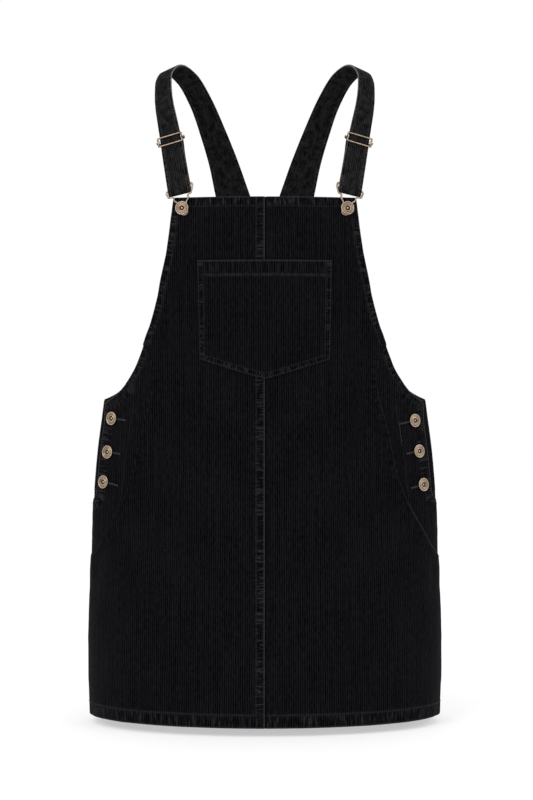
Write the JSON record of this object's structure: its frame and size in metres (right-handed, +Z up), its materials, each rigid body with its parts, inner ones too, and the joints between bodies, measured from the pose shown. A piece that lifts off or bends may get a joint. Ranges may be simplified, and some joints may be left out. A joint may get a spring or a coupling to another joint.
{
  "type": "pinafore dress",
  "caption": "Corduroy pinafore dress, bib front with patch pocket, buttoned side openings and strap loops on sliders and wire buckles; worn, hollow form to hang on shoulders",
  "frame": {"origin": "between the shoulders, at the height of the straps' tops, on the middle plane half way from front to back", "axes": "+Z up the wearer, +X to the right as seen from the front, -Y out of the front"},
  "size_m": [0.4518, 0.2402, 0.8291],
  "materials": {
    "corduroy": "black fine-wale cotton corduroy, 2.8 mm wale, matt pile",
    "bronze": "worn antique bronze plate"
  },
  "bodies": {
    "root": {"back": "corduroy", "front_left": "corduroy", "front_right": "corduroy", "side_front_left": "corduroy", "side_front_right": "corduroy", "button_stand_left": "corduroy", "button_stand_right": "corduroy", "chest_pocket": "corduroy", "strap_left": "corduroy", "strap_right": "corduroy", "slider_frame_left": "bronze", "slider_bar_left": "bronze", "buckle_left": "bronze", "bib_button_left": "bronze", "bib_tack_left": "bronze", "side_button_left_1": "bronze", "side_tack_left_1": "bronze", "side_button_left_2": "bronze", "side_tack_left_2": "bronze", "side_button_left_3": "bronze", "side_tack_left_3": "bronze", "slider_frame_right": "bronze", "slider_bar_right": "bronze", "buckle_right": "bronze", "bib_button_right": "bronze", "bib_tack_right": "bronze", "side_button_right_1": "bronze", "side_tack_right_1": "bronze", "side_button_right_2": "bronze", "side_tack_right_2": "bronze", "side_button_right_3": "bronze", "side_tack_right_3": "bronze"}
  },
  "joints": []
}
